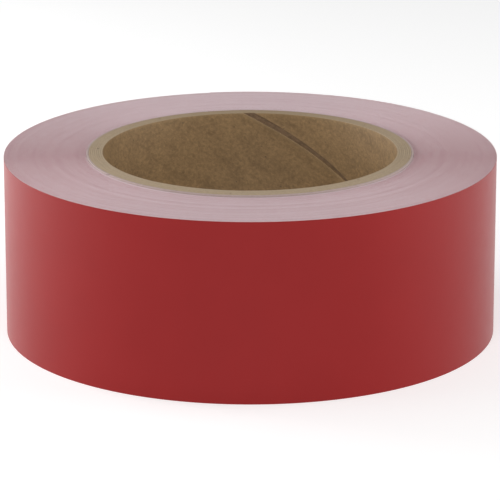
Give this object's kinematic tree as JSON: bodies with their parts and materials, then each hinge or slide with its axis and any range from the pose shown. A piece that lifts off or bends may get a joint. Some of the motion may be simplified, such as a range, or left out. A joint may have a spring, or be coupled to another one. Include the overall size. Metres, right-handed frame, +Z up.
{
  "type": "roll of sign vinyl",
  "caption": "Narrow roll of red self-adhesive sign vinyl on a white paper liner, wound film-out on a spiral paperboard core, with a liftable taped tail.",
  "frame": {"origin": "on the roll's axis, in the plane of the flush side that the roll rests on", "axes": "+Z up along the roll's axis, towards the side where the core stands slightly proud; the web is wound anticlockwise outwards seen from +Z and ends near +Y"},
  "size_m": [0.1273, 0.1274, 0.0474],
  "materials": {
    "inner_ply_kraft": "matt brown kraft with fine dark specks",
    "ply_board": "matt recycled paperboard, cut ends slightly fuzzy",
    "outer_ply_white": "bleached paper outer ply, matt, slightly peach",
    "liner": "white silicone-coated paper, soft sheen",
    "adhesive": "clear to milky pressure-sensitive coat",
    "film": "deep red calendered vinyl, satin gloss",
    "web_edges": "slit edges of the white liner and red film, seen as a fine pinkish grey ring",
    "tape": "translucent matt tape"
  },
  "bodies": {
    "roll": {"core_inner_ply": "inner_ply_kraft", "core_ply_2": "ply_board", "core_ply_3": "ply_board", "core_ply_4": "ply_board", "core_ply_5": "ply_board", "core_ply_6": "ply_board", "core_ply_7": "ply_board", "core_outer_ply": "outer_ply_white", "start_tape": "tape", "wound_web": "web_edges", "outer_turn_liner": "liner", "outer_turn_adhesive": "adhesive", "outer_turn_film": "film"},
    "tail": {"tail_liner": "liner", "tail_adhesive_root": "adhesive", "tail_film_root": "film"},
    "film_flap": {"tail_adhesive_tip": "adhesive", "tail_film_tip": "film", "end_tape_anchor": "tape"},
    "tape_tab": {"end_tape_tab": "tape"}
  },
  "joints": [
    {"name": "tail_lift", "type": "hinge", "parent": "roll", "child": "tail", "pos_m": [0.02793, 0.05726, 0.02335], "axis": [0, 0, -1], "range_deg": [0, 60]},
    {"name": "film_peel", "type": "hinge", "parent": "tail", "child": "film_flap", "pos_m": [0.01541, 0.06182, 0.02335], "axis": [0, 0, -1], "range_deg": [0, 120]},
    {"name": "tape_peel", "type": "hinge", "parent": "film_flap", "child": "tape_tab", "pos_m": [-0.01108, 0.06286, 0.02335], "axis": [0, 0, -1], "range_deg": [0, 150]}
  ]
}
